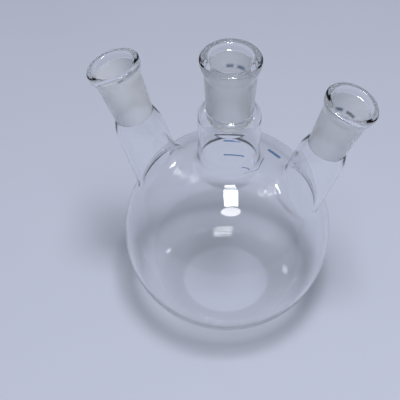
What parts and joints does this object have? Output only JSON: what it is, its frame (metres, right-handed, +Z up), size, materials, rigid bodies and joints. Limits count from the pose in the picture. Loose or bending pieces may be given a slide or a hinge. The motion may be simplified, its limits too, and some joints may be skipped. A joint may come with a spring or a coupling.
{
  "type": "three-neck boiling flask",
  "caption": "Clear glass boiling flask with a ball-shaped bulb on a flat base and angled necks that end in ground taper sockets with rolled rims.",
  "frame": {"origin": "centre of the flat base, on the surface that the flask stands on", "axes": "+Z up along the middle neck, the necks lie in the XZ plane, +X towards the right neck, -Y is the front"},
  "size_m": [0.1686, 0.1311, 0.1949],
  "materials": {
    "clear_glass": "fire-polished clear borosilicate glass",
    "ground_socket": "clear glass with a finely ground matt taper inside",
    "blue_enamel": "fired-on blue enamel"
  },
  "bodies": {
    "root": {"bulb": "clear_glass", "centre_neck_tube": "clear_glass", "left_neck_tube": "clear_glass", "right_neck_tube": "clear_glass", "centre_socket": "ground_socket", "left_socket": "ground_socket", "right_socket": "ground_socket", "centre_size_mark": "blue_enamel", "left_size_mark": "blue_enamel", "right_size_mark": "blue_enamel", "upper_line": "blue_enamel", "upper_bar": "blue_enamel", "middle_bar": "blue_enamel", "corner_line": "blue_enamel", "writing_patch": "blue_enamel"}
  },
  "joints": []
}
